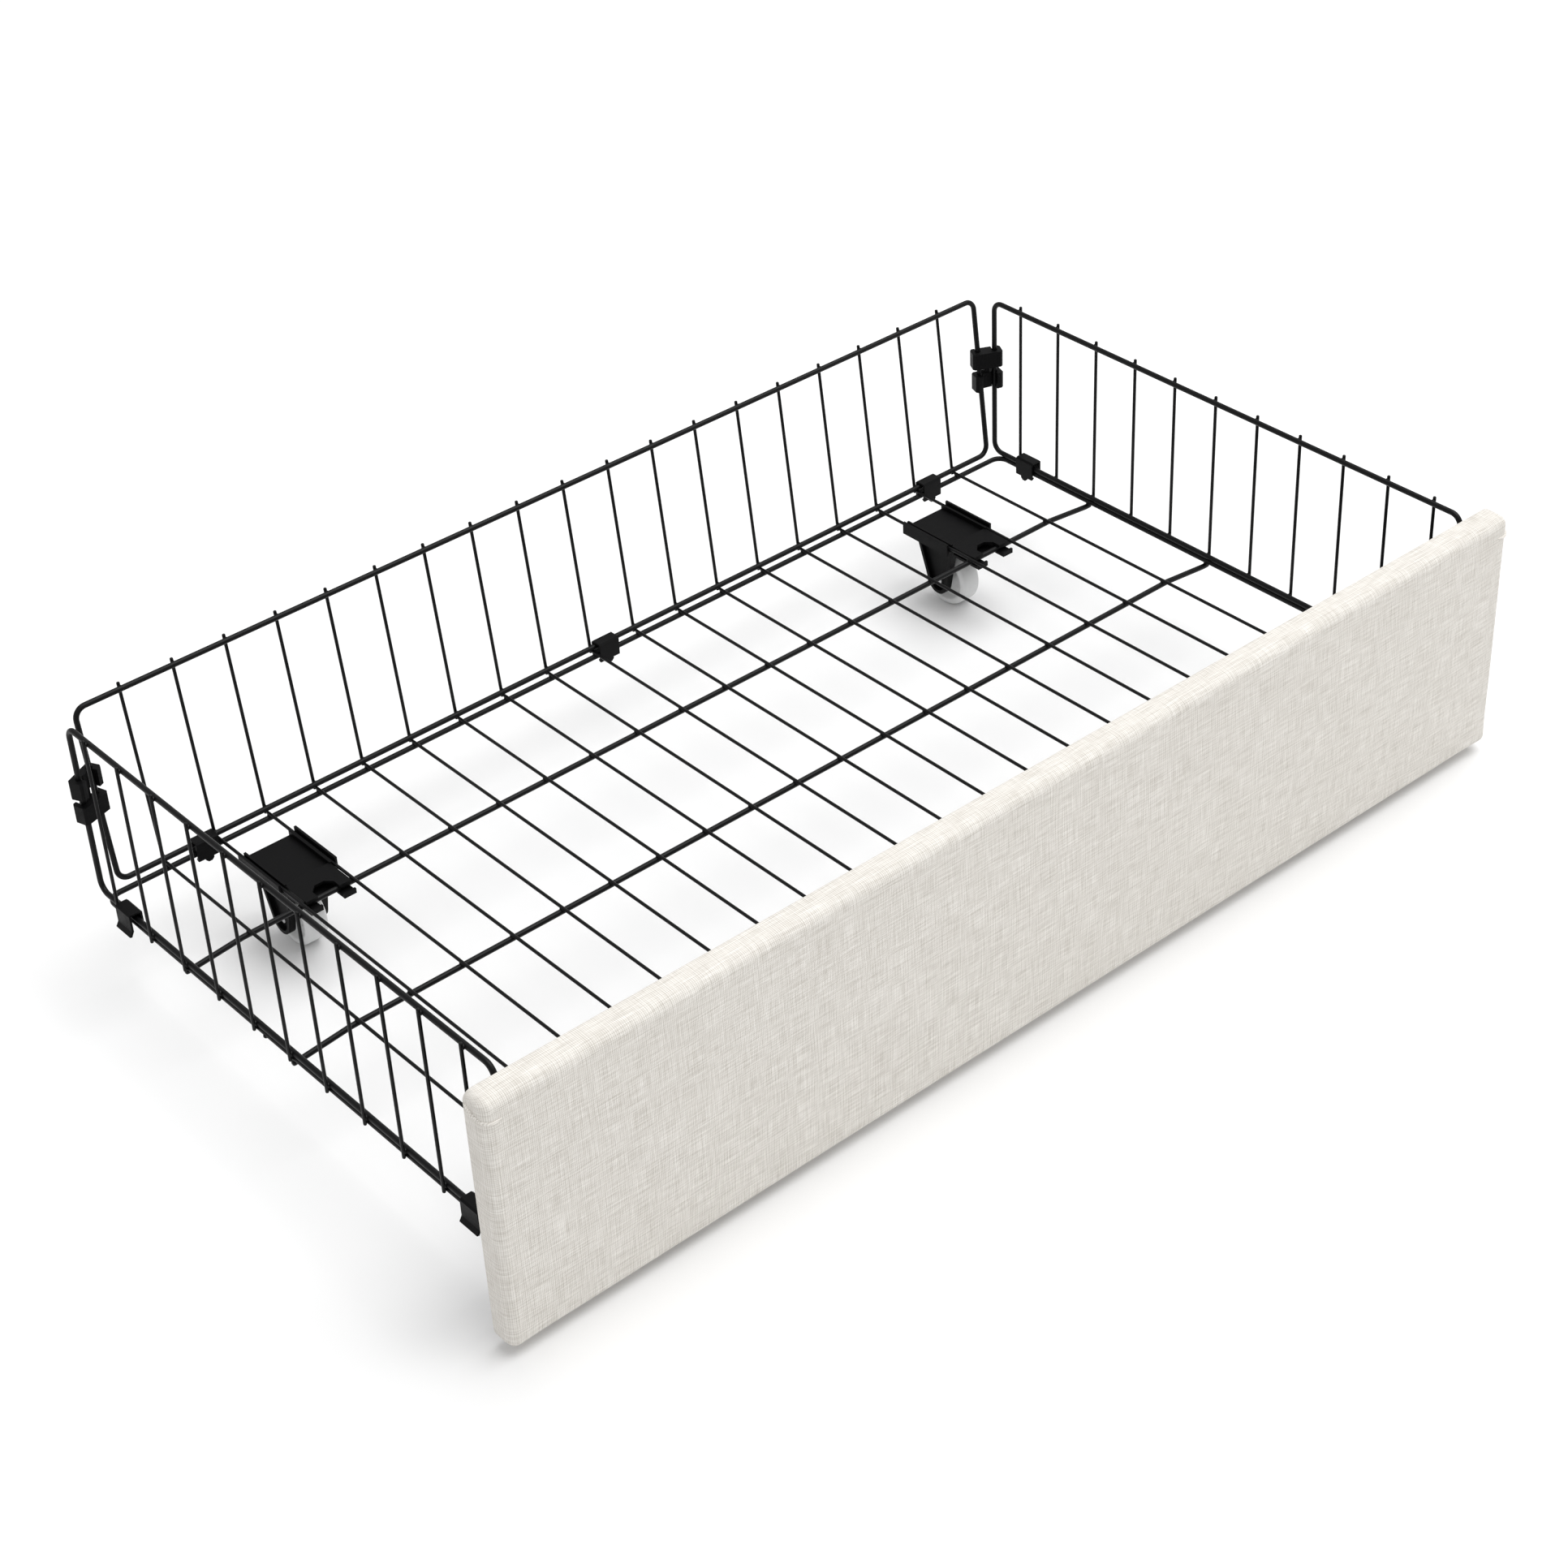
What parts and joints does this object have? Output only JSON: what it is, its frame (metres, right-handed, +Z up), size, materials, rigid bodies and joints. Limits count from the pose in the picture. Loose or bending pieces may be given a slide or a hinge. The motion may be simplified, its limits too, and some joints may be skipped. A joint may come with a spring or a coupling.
{
  "type": "trundle drawer",
  "caption": "Roll-out under-bed trundle drawer: black wire basket on fixed nylon casters, clipped panels and a padded linen front",
  "frame": {"origin": "on the floor under the middle of the drawer's overall box", "axes": "+X along the drawer's length to the viewer's right, +Y from the padded front to the back panel, +Z up"},
  "size_m": [1.08, 0.6143, 0.2468],
  "materials": {
    "black_wire": "satin black powder coat on steel wire",
    "black_plastic": "moulded black plastic, fine grain",
    "nylon": "natural white nylon, slightly cloudy",
    "steel": "bright steel",
    "linen": "cream linen weave with slubs",
    "foam": "soft upholstery foam",
    "board": "raw particle board",
    "lining": "thin black non-woven lining"
  },
  "bodies": {
    "drawer": {"back_clip_left": "black_plastic", "back_clip_middle": "black_plastic", "back_clip_right": "black_plastic", "back_panel_frame": "black_wire", "back_panel_wires": "black_wire", "base_cross_wires": "black_wire", "base_long_rods": "black_wire", "base_ring": "black_wire", "caster_axle_left_front": "steel", "caster_axle_left_rear": "steel", "caster_axle_right_front": "steel", "caster_axle_right_rear": "steel", "caster_bracket_left_front": "black_plastic", "caster_bracket_left_rear": "black_plastic", "caster_bracket_right_front": "black_plastic", "caster_bracket_right_rear": "black_plastic", "corner_clip_left": "black_plastic", "corner_clip_right": "black_plastic", "front_board": "board", "front_cover": "linen", "front_foam": "foam", "front_lining": "lining", "front_saddle_left_high": "black_plastic", "front_saddle_left_low": "black_plastic", "front_saddle_right_high": "black_plastic", "front_saddle_right_low": "black_plastic", "front_saddle_ring_left": "black_plastic", "front_saddle_ring_right": "black_plastic", "front_screws": "steel", "left_clip_front": "black_plastic", "left_clip_rear": "black_plastic", "left_panel_frame": "black_wire", "left_panel_wires": "black_wire", "right_clip_front": "black_plastic", "right_clip_rear": "black_plastic", "right_panel_frame": "black_wire", "right_panel_wires": "black_wire"},
    "wheel_left_rear": {"caster_wheel_left_rear": "nylon"},
    "wheel_right_rear": {"caster_wheel_right_rear": "nylon"},
    "wheel_left_front": {"caster_wheel_left_front": "nylon"},
    "wheel_right_front": {"caster_wheel_right_front": "nylon"}
  },
  "joints": [
    {"name": "roll_left_rear", "type": "hinge", "parent": "drawer", "child": "wheel_left_rear", "pos_m": [-0.375, 0.20789, 0.0275], "axis": [1, 0, 0], "continuous": true},
    {"name": "roll_right_rear", "type": "hinge", "parent": "drawer", "child": "wheel_right_rear", "pos_m": [0.375, 0.20789, 0.0275], "axis": [1, 0, 0], "continuous": true},
    {"name": "roll_left_front", "type": "hinge", "parent": "drawer", "child": "wheel_left_front", "pos_m": [-0.375, -0.19811, 0.0275], "axis": [1, 0, 0], "continuous": true},
    {"name": "roll_right_front", "type": "hinge", "parent": "drawer", "child": "wheel_right_front", "pos_m": [0.375, -0.19811, 0.0275], "axis": [1, 0, 0], "continuous": true}
  ]
}
